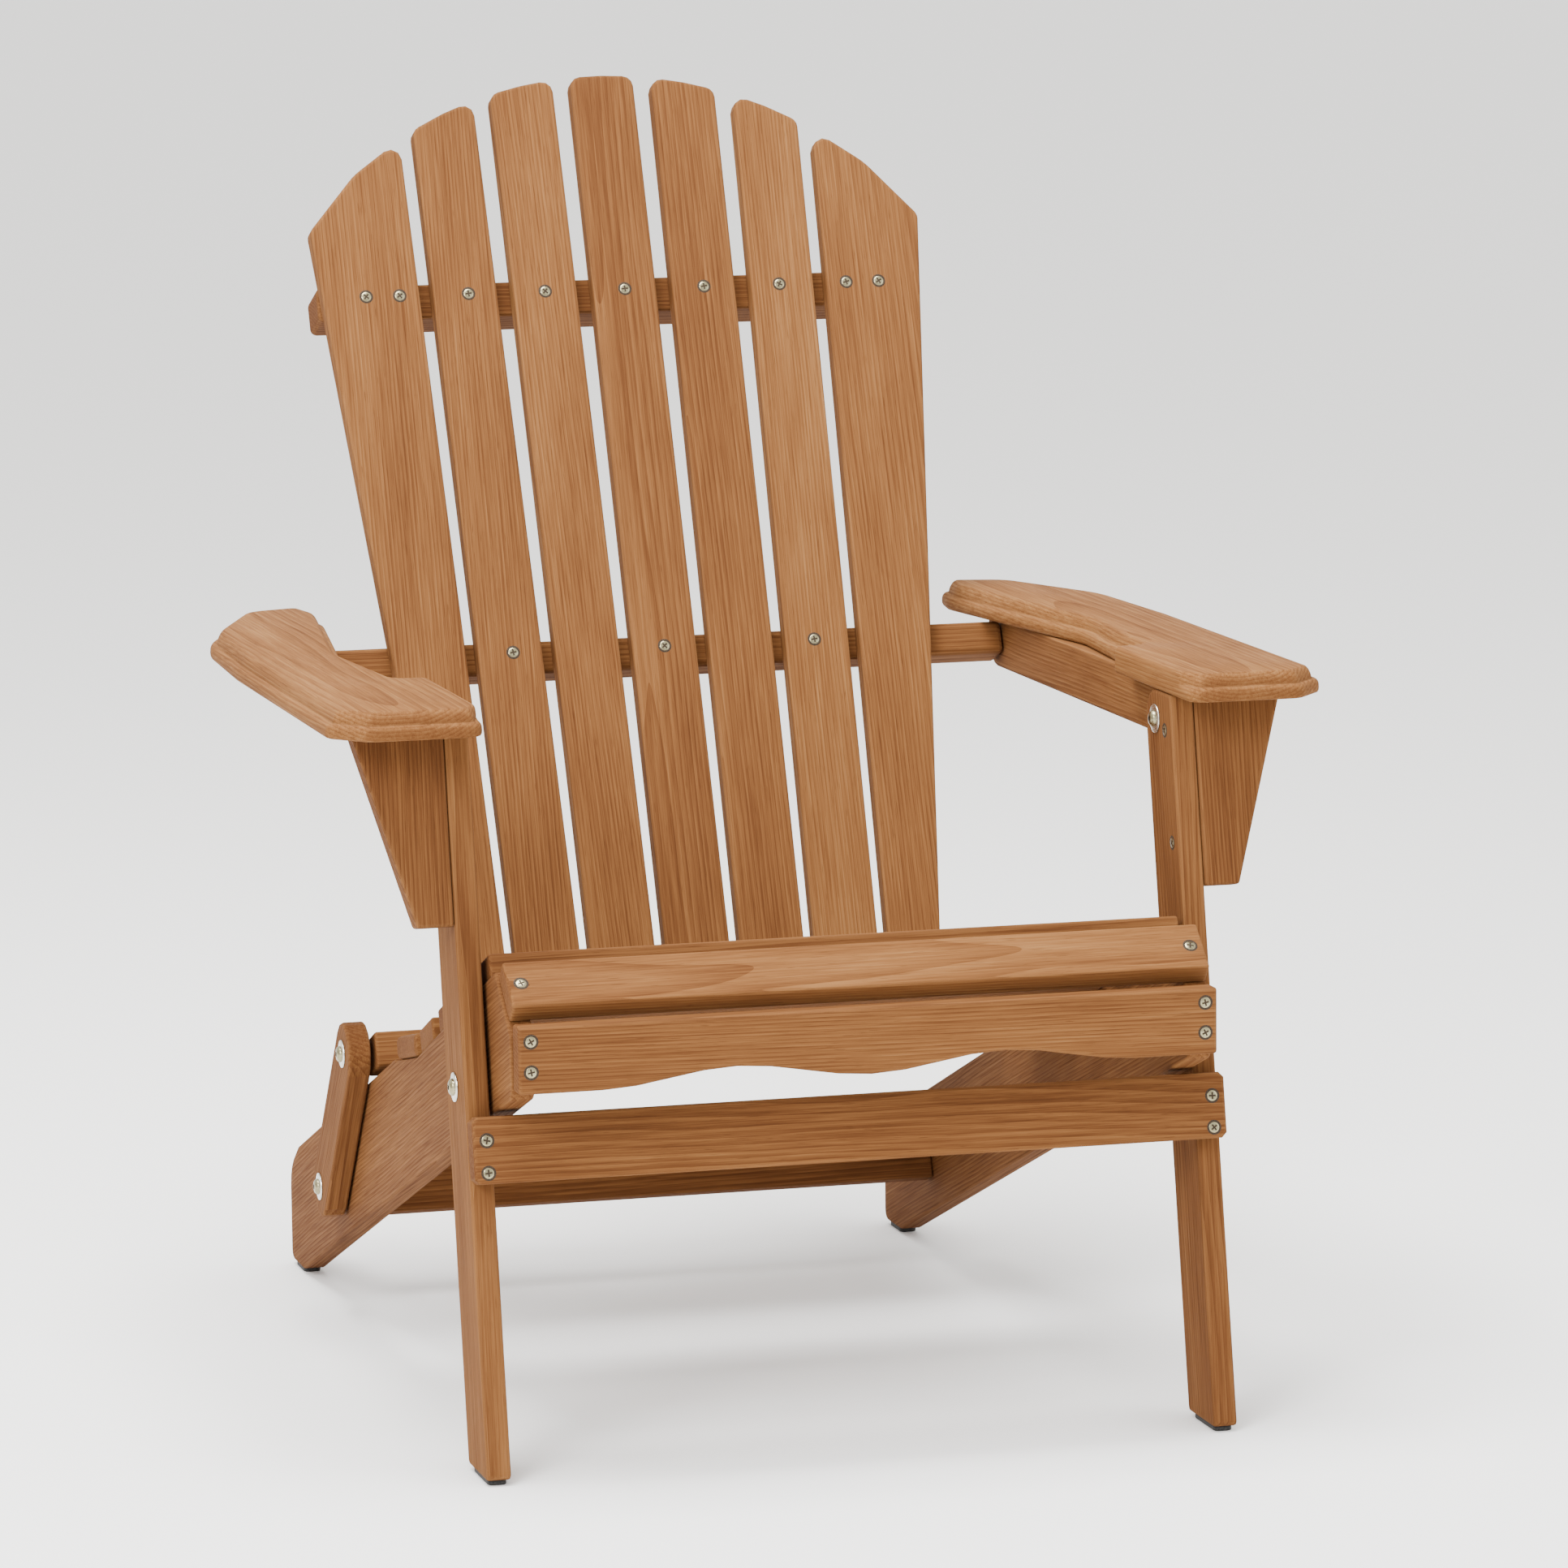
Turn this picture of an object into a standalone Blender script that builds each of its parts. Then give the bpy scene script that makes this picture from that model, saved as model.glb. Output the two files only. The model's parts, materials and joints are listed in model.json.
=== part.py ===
"""Folding adirondack chair in stained wood.

Metres, +Z up. The sitter faces -Y and X = 0 is the plane of symmetry. Side pieces are drawn as
(y, z) points, with y = 0 under the front of the front feet. DEPTH_CENTRE moves the whole chair,
so that its origin is on the floor under its middle.
"""
from math import atan2, cos, pi, radians, sin, sqrt, tan

import bmesh
import bpy
from mathutils import Matrix, Vector

# Driving dimensions
GAP = 0.0003                  # between pieces that touch
BOARD = 0.0185                # thickness of the frame boards
EDGE = 0.002                  # rounding of the boards' edges
SEAT_WIDTH = 0.5398           # across the outer faces of the stringers
FRAME_SLOPE = radians(20.1)   # of the stringers' lower edges
SEAT_SLOPE = radians(22.2)
NOSE_SLOPE = radians(40)      # of the front seat slat
ARM_HEIGHT = 0.551            # underside of the arms
ARM_THICK = 0.021
ARM_WIDTH = 0.1131
ARM_FRONT = 0.046
ARM_NOTCH = 0.235             # end of the arms' wide front
ARM_TAIL = 0.1010             # reach of an arm behind its rear pivot
ARM_BULGE = 0.0079            # of an arm's inner curve towards the back
ARM_CLEARANCE = 0.003         # between that curve and the outer slats
ARM_RAIL_HEIGHT = 0.042
ARM_RAIL_TAIL = 0.0290
BRACKET_CLEARANCE = 0.0007    # between a bracket and the arm rail behind it
ARM_PIVOT_DROP = 0.0227       # of the front arm bolts under the arms
MID_RAIL_DROP = 0.0206        # of the mid rail's middle under the arms
GLIDE_THICK = 0.004
LEG_WIDTH = 0.062
LEG_LEAN = radians(10.8)
LEG_SPACER = 0.0030           # between a leg and its stringer
LINK_SPACER = 0.0018          # between a link and its stringer
LINK_WIDTH = 0.050
LINK_PIVOT_INSET = 0.0265     # of the back's pivot behind the lower rail's front
STRETCHER_HEIGHT = 0.050
STRETCHER_DROP = 0.0022       # under the stringers, down the leg
BRACKET_TOP = 0.070           # reach of a bracket outside its leg
BRACKET_BOTTOM = 0.028
BRACKET_HEIGHT = 0.146
BOLT_R = 0.0035
HOLE_CLEARANCE = 0.0006       # of a bolt hole's radius
HEAD_R = 0.0065
HEAD_THICK = 0.0036
WASHER_R = 0.0112
WASHER_THICK = 0.0012
NUT_R = 0.0068
NUT_THICK = 0.0055
BLIND_BORE = 0.034
BACK_LEAN = radians(22.6)
SLAT_THICK = 0.016
SLAT_WIDTH = 0.0534
SLAT_GAP = 0.0109             # between the slats at the mid rail
SLAT_FAN = 0.0092             # growth of the spacing per metre of back
CROWN_HEIGHT = 0.491          # top of the middle slat above the mid rail
CROWN_RADIUS = 0.330
OUTER_SLAT_GAP = 0.0097
OUTER_SLAT_WIDTH = 0.0607
OUTER_SLAT_FANS = (0.0239, 0.0889)
BATTEN_HEIGHT = 0.029
BATTEN_DEPTH = 0.040
BATTEN_RISE = 0.2905
BATTEN_HALF = 0.2545
MID_RAIL_HEIGHT = 0.027
MID_RAIL_DEPTH = 0.032
LOWER_RAIL_HEIGHT = 0.028
LOWER_RAIL_DEPTH = 0.040
LOWER_RAIL_RISE = 0.0110      # of its top over the back's pivot
SEAT_SLAT_WIDTH = 0.048
SEAT_SLAT_STEP = 0.0720
NOSE_SLAT_WIDTH = 0.0427
SEAT_INSET = 0.0019           # of the seat slats' ends from the stringers' outer faces
SEAT_BAR_WIDTH = 0.071
SEAT_BAR_GAP = 0.0094         # behind the last seat slat
SEAT_BAR_SLOPE = radians(12)
APRON_TOP = 0.3467
APRON_HEIGHT = 0.050
SCALLOP = 0.012
SCALLOP_HALF = 0.205
REAR_STRETCHER_HEIGHT = 0.055
BUMPER_R = 0.006
BUMPER_LENGTH = 0.008
FOOT_LENGTH = 0.0482          # of the stringers on their glides
HEEL_CORNER = (0.034, 0.023)  # cut off above the stringers' rear ends
TURN_STEPS = 16

# Reference points and pivots, as (y, z)
LEG_TOE = (-0.003, GLIDE_THICK + GAP)
STRINGER_LOW = (0.5132, 0.1004)   # on the stringers' lower edges
STRINGER_HIGH = (0.4724, 0.2222)  # on their upper edges, behind the seat
SEAT_FRONT = (0.0679, 0.3868)  # front top corner of the second seat slat
SEAT_NOSE = (-0.0092, 0.3602)  # front top corner of the front seat slat
LEG_PIVOT = (0.0840, 0.2850)
BACK_PIVOT = (0.5000, 0.2370)
LINK_PIVOT = (0.6000, 0.1100)


def leg_point(across, height):
    """A point of a front leg, across it from its front edge."""
    rise = height - LEG_TOE[1]
    return (LEG_TOE[0] + rise * tan(LEG_LEAN) + across / cos(LEG_LEAN), height)


def slope_line(start, slope, distance, depth=0):
    """A point along a downward slope, and under it by depth."""
    y = start[0] + distance * cos(slope) - depth * sin(slope)
    return (y, start[1] - distance * sin(slope) - depth * cos(slope))


def back_point(start, up, depth):
    """A point along the back, and behind it by depth."""
    y = start[0] + up * sin(BACK_LEAN) + depth * cos(BACK_LEAN)
    return (y, start[1] + up * cos(BACK_LEAN) - depth * sin(BACK_LEAN))


# Sizes that follow from them
HALF_SEAT = SEAT_WIDTH / 2
STRINGER_INNER = HALF_SEAT - BOARD
STRINGER_X = HALF_SEAT - BOARD / 2
LEG_INNER = HALF_SEAT + LEG_SPACER
LEG_OUTER = LEG_INNER + BOARD
LINK_INNER = HALF_SEAT + LINK_SPACER
LINK_OUTER = LINK_INNER + BOARD
RAIL_INNER = LEG_OUTER + 0.0010
RAIL_OUTER = RAIL_INNER + BOARD
ARM_PIVOT = leg_point(LEG_WIDTH - ARM_PIVOT_DROP - 0.0006, ARM_HEIGHT - ARM_PIVOT_DROP)
HOLE_R = BOLT_R + HOLE_CLEARANCE
SLAT_PITCH = SLAT_WIDTH + SLAT_GAP
OUTER_SLAT_INNER = 2 * SLAT_PITCH + SLAT_WIDTH / 2 + OUTER_SLAT_GAP
OUTER_SLAT_OUTER = OUTER_SLAT_INNER + OUTER_SLAT_WIDTH
BACK_AT_ARMS = OUTER_SLAT_OUTER + OUTER_SLAT_FANS[1] * (MID_RAIL_DROP + ARM_THICK)
ARM_INNER = max(LEG_INNER - 0.0010, BACK_AT_ARMS + ARM_BULGE + ARM_CLEARANCE)
SLAT_BACK = SLAT_THICK + GAP
MID_RAIL_MIDDLE = SLAT_BACK + MID_RAIL_DEPTH / 2
PIVOT_FRONT = back_point(BACK_PIVOT, 0, -SLAT_BACK - LINK_PIVOT_INSET)
MID_RAIL_RISE = (
    ARM_HEIGHT - MID_RAIL_DROP - PIVOT_FRONT[1] + MID_RAIL_MIDDLE * sin(BACK_LEAN)
) / cos(BACK_LEAN)
BACK_MIDDLE = back_point(PIVOT_FRONT, MID_RAIL_RISE, 0)  # slats' front at the mid rail
ARM_REAR_PIVOT = back_point(BACK_MIDDLE, 0, MID_RAIL_MIDDLE)
LOWER_RAIL_TOP = LOWER_RAIL_RISE - MID_RAIL_RISE
SLAT_FOOT = LOWER_RAIL_TOP - LOWER_RAIL_HEIGHT - 0.0010
SEAT_BAR_FRONT = slope_line(
    SEAT_FRONT, SEAT_SLOPE, 3 * SEAT_SLAT_STEP + SEAT_SLAT_WIDTH + SEAT_BAR_GAP
)
APRON_BACK = SEAT_NOSE[0] + 0.0022
STRINGER_TOE = STRINGER_LOW[0] + (STRINGER_LOW[1] - LEG_TOE[1]) / tan(FRAME_SLOPE)
HEEL = STRINGER_TOE + FOOT_LENGTH
LEG_UNDER_STRINGER = (
    STRINGER_LOW[1] - LEG_TOE[1] + tan(FRAME_SLOPE) * (STRINGER_LOW[0] - LEG_TOE[0])
) / (cos(LEG_LEAN) + tan(FRAME_SLOPE) * sin(LEG_LEAN))
DEPTH_CENTRE = (HEEL + APRON_BACK - BOARD) / 2
LEG_HEIGHT = (ARM_HEIGHT - GAP - LEG_TOE[1]) / cos(LEG_LEAN)

STAINED_WOOD = ((0.40, 0.20, 0.08, 1), 0.45, 0.0)
ZINC = ((0.62, 0.55, 0.42, 1), 0.35, 1.0)
BLACK_PLASTIC = ((0.02, 0.02, 0.02, 1), 0.6, 0.0)

for old in list(bpy.data.objects):
    bpy.data.objects.remove(old, do_unlink=True)


def new_collection(name):
    collection = bpy.data.collections.new(name)
    bpy.context.scene.collection.children.link(collection)
    return collection


CHAIR = new_collection("adirondack_chair")
CUTTERS = new_collection("cutters")
CUTTERS.hide_render = True


# Frames of reference

def at(x, point):
    return Vector((x, point[0] - DEPTH_CENTRE, point[1]))


def frame(origin, x_axis, y_axis):
    """A matrix whose x and y span a flat outline, and whose z is the outline's normal."""
    columns = Matrix((x_axis, y_axis, x_axis.cross(y_axis))).transposed()
    return Matrix.Translation(origin) @ columns.to_4x4()


X, Y, Z = Vector((1, 0, 0)), Vector((0, 1, 0)), Vector((0, 0, 1))
LEG_UP = Vector((0, sin(LEG_LEAN), cos(LEG_LEAN)))
BACK_UP = Vector((0, sin(BACK_LEAN), cos(BACK_LEAN)))
LEG_FACE = frame(at(0, LEG_TOE), X, LEG_UP)
BACK_FACE = frame(at(0, BACK_MIDDLE), X, BACK_UP)
PLAN = frame(at(0, (0, ARM_HEIGHT)), X, Y)


def side_frame(x):
    return frame(at(x, (0, 0)), Y, Z)


def along_x(x, pivot, outward):
    """A frame on a pivot, whose z points away from the middle or towards it."""
    return frame(at(x, pivot), Y * outward, Z)


# Outlines

def arc(centre, radius, start, end, steps):
    """Points of an arc, with its angles in degrees."""
    turns = [radians(start + (end - start) * i / steps) for i in range(steps + 1)]
    return [(centre[0] + radius * cos(a), centre[1] + radius * sin(a)) for a in turns]


def circle(centre, radius, steps):
    return arc(centre, radius, 0, 360, steps)[:-1]


def rounded(corners, steps=3):
    """An outline from (x, y, radius) corners, with an arc in place of each."""
    outline = []
    for i, (x, y, radius) in enumerate(corners):
        here = Vector((x, y))
        if radius == 0:
            outline.append((x, y))
            continue
        before = (Vector(corners[i - 1][:2]) - here).normalized()
        after = (Vector(corners[(i + 1) % len(corners)][:2]) - here).normalized()
        half = before.angle(after) / 2
        centre = here + (before + after).normalized() * radius / sin(half)
        first = here + before * radius / tan(half) - centre
        last = here + after * radius / tan(half) - centre
        turn = first.angle_signed(last)
        start = atan2(first.y, first.x)
        for step in range(steps + 1):
            angle = start - turn * step / steps
            outline.append((centre.x + radius * cos(angle), centre.y + radius * sin(angle)))
    return outline


def rectangle(x0, x1, y0, y1, radius=0):
    return rounded([(x0, y0, radius), (x1, y0, radius), (x1, y1, radius), (x0, y1, radius)])


def stadium(start, end, radius, steps=8):
    """The outline of a bar with round ends."""
    heading = atan2(end[1] - start[1], end[0] - start[0]) * 180 / pi
    far = arc(end, radius, heading - 90, heading + 90, steps)
    return far + arc(start, radius, heading + 90, heading + 270, steps)


# Objects

def material(name, look):
    mat = bpy.data.materials.new(name)
    mat.use_nodes = True
    shader = mat.node_tree.nodes["Principled BSDF"]
    colour, roughness, metallic = look
    shader.inputs["Base Color"].default_value = colour
    shader.inputs["Roughness"].default_value = roughness
    shader.inputs["Metallic"].default_value = metallic
    mat.diffuse_color = colour
    return mat


def axis_empty(name, pivot):
    empty = bpy.data.objects.new(name, None)
    empty.location = at(0, pivot)
    CHAIR.objects.link(empty)
    return empty


def place(obj, matrix, owner, look):
    obj.matrix_world = matrix
    obj.parent = owner
    obj.matrix_parent_inverse = Matrix.Translation(-owner.location)
    obj.data.materials.append(material(obj.name, look))
    CHAIR.objects.link(obj)
    return obj


def flat_mesh(name, loops, low, high):
    """A mesh of the area inside the first loop and outside the others, from low to high in z."""
    curve = bpy.data.curves.new(name, "CURVE")
    curve.dimensions = "2D"
    curve.fill_mode = "BOTH"
    curve.extrude = (high - low) / 2
    for loop in loops:
        spline = curve.splines.new("POLY")
        spline.points.add(len(loop) - 1)
        for point, (x, y) in zip(spline.points, loop):
            point.co = (x, y, 0, 1)
        spline.use_cyclic_u = True
    guide = bpy.data.objects.new(name, curve)
    bpy.context.scene.collection.objects.link(guide)
    bpy.context.view_layer.update()
    graph = bpy.context.evaluated_depsgraph_get()
    mesh = bpy.data.meshes.new_from_object(guide.evaluated_get(graph))
    bpy.data.objects.remove(guide)
    bpy.data.curves.remove(curve)
    mesh.name = name
    shape = bmesh.new()
    shape.from_mesh(mesh)
    bmesh.ops.remove_doubles(shape, verts=shape.verts, dist=1e-6)
    bmesh.ops.translate(shape, verts=shape.verts, vec=(0, 0, (low + high) / 2))
    bmesh.ops.dissolve_limit(shape, angle_limit=radians(0.5), verts=shape.verts, edges=shape.edges)
    bmesh.ops.recalc_face_normals(shape, faces=shape.faces)
    shape.to_mesh(mesh)
    shape.free()
    return mesh


def board(name, loops, low, high, matrix, owner, look=STAINED_WOOD, edge=EDGE):
    """A flat piece with eased edges, from low to high along its outline's normal."""
    obj = place(bpy.data.objects.new(name, flat_mesh(name, loops, low, high)), matrix, owner, look)
    if edge:
        ease = obj.modifiers.new("eased_edges", "BEVEL")
        ease.width = edge
        ease.segments = 2
        ease.limit_method = "ANGLE"
        ease.angle_limit = radians(50)
        ease.harden_normals = False
    return obj


def drill(obj, pivot, low, high, side):
    """Cuts a bolt hole across the chair, from low to high out from the middle."""
    shape = bmesh.new()
    bmesh.ops.create_cone(
        shape, cap_ends=True, segments=TURN_STEPS, radius1=HOLE_R, radius2=HOLE_R, depth=high - low
    )
    mesh = bpy.data.meshes.new(obj.name + "_hole")
    shape.to_mesh(mesh)
    shape.free()
    cutter = bpy.data.objects.new(mesh.name, mesh)
    cutter.matrix_world = along_x(side * (low + high) / 2, pivot, side)
    cutter.display_type = "WIRE"
    cutter.hide_render = True
    CUTTERS.objects.link(cutter)
    cut = obj.modifiers.new("bolt_hole", "BOOLEAN")
    cut.operation = "DIFFERENCE"
    cut.solver = "EXACT"
    cut.object = cutter


def turned(name, profile, closed, matrix, owner, look):
    """A profile of (radius, height) points turned round z, from the top down its outer side."""
    mesh = bpy.data.meshes.new(name)
    points = [(radius, 0, height) for radius, height in profile]
    edges = [(i, i + 1) for i in range(len(points) - 1)]
    if closed:
        edges.append((len(points) - 1, 0))
    mesh.from_pydata(points, edges, [])
    obj = place(bpy.data.objects.new(name, mesh), matrix, owner, look)
    screw = obj.modifiers.new("turn", "SCREW")
    screw.steps = TURN_STEPS
    screw.render_steps = TURN_STEPS
    screw.use_merge_vertices = True
    screw.merge_threshold = 1e-5
    screw.use_smooth_shade = True
    return obj


def bolt(name, pivot, face, end, side, owner, outward=1):
    """A pan-head bolt with its washer on a face, and its shank going to end."""
    length = (face - end) * outward
    profile = [
        (0, HEAD_THICK + WASHER_THICK + GAP),
        (HEAD_R * 0.6, HEAD_THICK * 0.92 + WASHER_THICK + GAP),
        (HEAD_R, HEAD_THICK * 0.35 + WASHER_THICK + GAP),
        (HEAD_R, WASHER_THICK + GAP),
        (WASHER_R, WASHER_THICK + GAP),
        (WASHER_R, GAP),
        (BOLT_R, GAP),
        (BOLT_R, -length),
        (0, -length),
    ]
    turned(name, profile, False, along_x(side * face, pivot, side * outward), owner, ZINC)


def washer(name, pivot, low, high, side, owner):
    profile = [(WASHER_R, high), (WASHER_R, low), (HOLE_R, low), (HOLE_R, high)]
    turned(name, profile, True, along_x(0, pivot, side), owner, ZINC)


def nut(name, pivot, low, side, owner):
    loops = [circle((0, 0), NUT_R, 6), circle((0, 0), HOLE_R, 12)]
    matrix = along_x(0, pivot, side)
    board(name, loops, low, low + NUT_THICK, matrix, owner, look=ZINC, edge=0)


# Bodies, each on the axis that it turns on

SEAT_FRAME = axis_empty("seat_frame_origin", (DEPTH_CENTRE, 0))
LEG_AXIS = axis_empty("leg_axis", LEG_PIVOT)
ARM_AXIS = axis_empty("arm_axis", ARM_REAR_PIVOT)
LINK_AXIS = axis_empty("link_axis", LINK_PIVOT)
BACK_AXIS = axis_empty("back_axis", BACK_PIVOT)
SIDES = (("left", 1), ("right", -1))


# Seat frame

def lower_edge(y):
    """Height of the stringers' lower edges."""
    return STRINGER_LOW[1] + tan(FRAME_SLOPE) * (STRINGER_LOW[0] - y)


def upper_edge(y):
    """Height of the stringers' upper edges behind the seat."""
    return STRINGER_HIGH[1] + tan(FRAME_SLOPE) * (STRINGER_HIGH[0] - y)


def meeting(point, slope, other, other_slope):
    """Where two lines meet, each given by a point and its rise over run."""
    y = (other[1] - point[1] + slope * point[0] - other_slope * other[0]) / (slope - other_slope)
    return (y, point[1] + slope * (y - point[0]))


def stringer_outline():
    clear = BOARD + GAP
    under_slats = slope_line(SEAT_FRONT, SEAT_SLOPE, 0, clear)
    under_nose = slope_line(SEAT_NOSE, -NOSE_SLOPE, 0, clear)
    under_bar = slope_line(SEAT_BAR_FRONT, SEAT_BAR_SLOPE, 0, clear)
    peak = meeting(under_nose, tan(NOSE_SLOPE), under_slats, -tan(SEAT_SLOPE))
    bar_front = meeting(under_slats, -tan(SEAT_SLOPE), under_bar, -tan(SEAT_BAR_SLOPE))
    front = APRON_BACK + GAP
    front_top = under_nose[1] + tan(NOSE_SLOPE) * (front - under_nose[0])
    bar_rear = slope_line(SEAT_BAR_FRONT, SEAT_BAR_SLOPE, SEAT_BAR_WIDTH + 0.006, clear)
    foot = LEG_TOE[1]
    shoulder = (HEEL - HEEL_CORNER[0], upper_edge(HEEL - HEEL_CORNER[0]))
    return rounded([
        (front, lower_edge(front), 0.010),
        (STRINGER_TOE, foot, 0.012),
        (HEEL, foot, 0.008),
        (HEEL, shoulder[1] - HEEL_CORNER[1], 0.030),
        (*shoulder, 0.030),
        (bar_rear[0] + 0.004, upper_edge(bar_rear[0] + 0.004), 0),
        (bar_rear[0], bar_rear[1], 0),
        (bar_front[0], bar_front[1], 0),
        (peak[0], peak[1], 0.006),
        (front, front_top, 0),
    ])


def make_stringers():
    for side_name, side in SIDES:
        name = "stringer_" + side_name
        stringer = board(
            name, [stringer_outline()], -BOARD / 2, BOARD / 2, side_frame(side * STRINGER_X),
            SEAT_FRAME,
        )
        for pivot in (LEG_PIVOT, LINK_PIVOT):
            drill(stringer, pivot, STRINGER_INNER - BOARD, HALF_SEAT + BOARD, side)


def make_apron():
    half = HALF_SEAT - SEAT_INSET
    bottom = APRON_TOP - APRON_HEIGHT
    steps = 16
    wave = []
    for i in range(steps + 1):
        x = SCALLOP_HALF * (2 * i / steps - 1)
        wave.append((x, bottom + SCALLOP * sin(pi * x / SCALLOP_HALF) ** 2))
    corners = [(half, bottom), (half, APRON_TOP), (-half, APRON_TOP), (-half, bottom)]
    face = frame(at(0, (APRON_BACK, 0)), X, Z)
    board("apron", [wave + corners], 0, BOARD, face, SEAT_FRAME)


def make_seat():
    half = HALF_SEAT - SEAT_INSET
    nose = frame(at(0, SEAT_NOSE), X, Vector((0, cos(NOSE_SLOPE), sin(NOSE_SLOPE))))
    board("seat_slat_1", [rectangle(-half, half, 0, NOSE_SLAT_WIDTH)], -BOARD, 0, nose, SEAT_FRAME)
    down = Vector((0, cos(SEAT_SLOPE), -sin(SEAT_SLOPE)))
    for i in range(4):
        slat = frame(at(0, SEAT_FRONT) + down * SEAT_SLAT_STEP * i, X, down)
        outline = rectangle(-half, half, 0, SEAT_SLAT_WIDTH)
        board(f"seat_slat_{i + 2}", [outline], -BOARD, 0, slat, SEAT_FRAME)
    down = Vector((0, cos(SEAT_BAR_SLOPE), -sin(SEAT_BAR_SLOPE)))
    outline = rectangle(-HALF_SEAT, HALF_SEAT, 0, SEAT_BAR_WIDTH)
    board(
        "seat_rear_bar", [outline], -BOARD, 0, frame(at(0, SEAT_BAR_FRONT), X, down), SEAT_FRAME,
        edge=0.004,
    )


def make_rear_stretcher():
    half = STRINGER_INNER - GAP
    up = Vector((0, sin(FRAME_SLOPE), cos(FRAME_SLOPE)))
    face = frame(at(0, (0.672, 0.070)), X, up)
    outline = rectangle(-half, half, 0, REAR_STRETCHER_HEIGHT)
    board("rear_stretcher", [outline], -BOARD, 0, face, SEAT_FRAME)
    for side_name, side in SIDES:
        centre = (side * (half - 0.020), REAR_STRETCHER_HEIGHT / 2)
        outline = circle(centre, BUMPER_R, TURN_STEPS)
        board(
            "rear_bumper_" + side_name, [outline], GAP, BUMPER_LENGTH, face, SEAT_FRAME,
            look=BLACK_PLASTIC, edge=0.001,
        )


def make_glide(name, x, start, end, owner):
    half = BOARD / 2 - 0.002
    outline = rectangle(x - half, x + half, start, end, 0.004)
    floor = frame(at(0, (0, 0)), X, Y)
    board(name, [outline], 0, GLIDE_THICK, floor, owner, look=BLACK_PLASTIC, edge=0.001)


# Front legs

def leg_outline():
    """A leg whose top rear corner is round about its arm's pivot, so that it clears the arm."""
    top = ARM_HEIGHT - GAP
    foot = LEG_TOE[1]
    round_top = top - ARM_PIVOT[1]
    return rounded([
        (*leg_point(0, foot), 0.004),
        (*leg_point(LEG_WIDTH, foot), 0.004),
        (*leg_point(LEG_WIDTH, top), round_top),
        (*leg_point(0, top), 0),
    ], steps=5)


def make_legs():
    for side_name, side in SIDES:
        middle = side * (LEG_INNER + LEG_OUTER) / 2
        leg = board(
            "front_leg_" + side_name, [leg_outline()], -BOARD / 2, BOARD / 2, side_frame(middle),
            LEG_AXIS,
        )
        drill(leg, LEG_PIVOT, LEG_INNER - 0.01, LEG_OUTER + 0.01, side)
        drill(leg, ARM_PIVOT, LEG_INNER - 0.01, LEG_OUTER + 0.01, side)
        inner = LEG_OUTER + GAP
        top = LEG_HEIGHT
        bottom = top - BRACKET_HEIGHT
        outline = [
            (side * inner, bottom), (side * (inner + BRACKET_BOTTOM), bottom),
            (side * (inner + BRACKET_TOP), top), (side * inner, top),
        ]
        board("bracket_" + side_name, [outline], -BOARD, 0, LEG_FACE, LEG_AXIS)
        toe = LEG_TOE[0]
        make_glide("front_glide_" + side_name, middle, toe + 0.006, toe + 0.056, LEG_AXIS)
        rear = side * STRINGER_X
        make_glide("rear_glide_" + side_name, rear, STRINGER_TOE + 0.006, HEEL - 0.008, SEAT_FRAME)
    high = LEG_UNDER_STRINGER - STRETCHER_DROP
    low = high - STRETCHER_HEIGHT
    chamfer = 0.004
    ends = [
        (-LEG_OUTER, low + chamfer), (-LEG_OUTER + chamfer, low), (LEG_OUTER - chamfer, low),
        (LEG_OUTER, low + chamfer), (LEG_OUTER, high - chamfer), (LEG_OUTER - chamfer, high),
        (-LEG_OUTER + chamfer, high), (-LEG_OUTER, high - chamfer),
    ]
    board("front_stretcher", [ends], GAP, BOARD + GAP, LEG_FACE, LEG_AXIS)


# Arms

def arm_outline():
    """The left arm from above, from its front inner corner round to its outer side."""
    rear = ARM_REAR_PIVOT[0] + ARM_TAIL
    corners = [
        (0, ARM_FRONT, 0.014),
        (0, ARM_NOTCH, 0.006),
        (0.0181, ARM_NOTCH + 0.015, 0.010),
        (0.0296, ARM_NOTCH + 0.170, 0.130),
        (-ARM_BULGE, rear - 0.047, 0.060),
        (0.0001, rear + 0.004, 0.016),
        (0.0581, rear - 0.014, 0.040),
        (0.1061, rear - 0.137, 0.150),
        (ARM_WIDTH, rear - 0.292, 0.300),
        (ARM_WIDTH, ARM_FRONT + 0.030, 0.016),
        (0.0881, ARM_FRONT, 0.016),
    ]
    return rounded([(ARM_INNER + x, y, radius) for x, y, radius in corners], steps=4)


def rail_outline():
    top = ARM_HEIGHT - GAP
    bottom = top - ARM_RAIL_HEIGHT
    front = leg_point(BOARD, top)[0] + BRACKET_CLEARANCE
    rear = ARM_REAR_PIVOT[0] + ARM_RAIL_TAIL
    return rounded([
        (front, top, 0),
        (front, ARM_PIVOT[1] - 0.010, 0.003),
        (ARM_PIVOT[0] - 0.005, bottom, 0.003),
        (rear, bottom, 0.024),
        (rear, top, 0.006),
    ], steps=4)


def make_arms():
    for side_name, side in SIDES:
        outline = [(side * x, y) for x, y in arm_outline()]
        board("arm_" + side_name, [outline], 0, ARM_THICK, PLAN, ARM_AXIS, edge=0.0035)
        middle = side * (RAIL_INNER + RAIL_OUTER) / 2
        rail = board(
            "arm_rail_" + side_name, [rail_outline()], -BOARD / 2, BOARD / 2, side_frame(middle),
            ARM_AXIS,
        )
        drill(rail, ARM_PIVOT, RAIL_INNER - 0.01, RAIL_OUTER + 0.01, side)
        drill(rail, ARM_REAR_PIVOT, RAIL_INNER - 0.01, RAIL_OUTER + 0.01, side)


# Back

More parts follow.
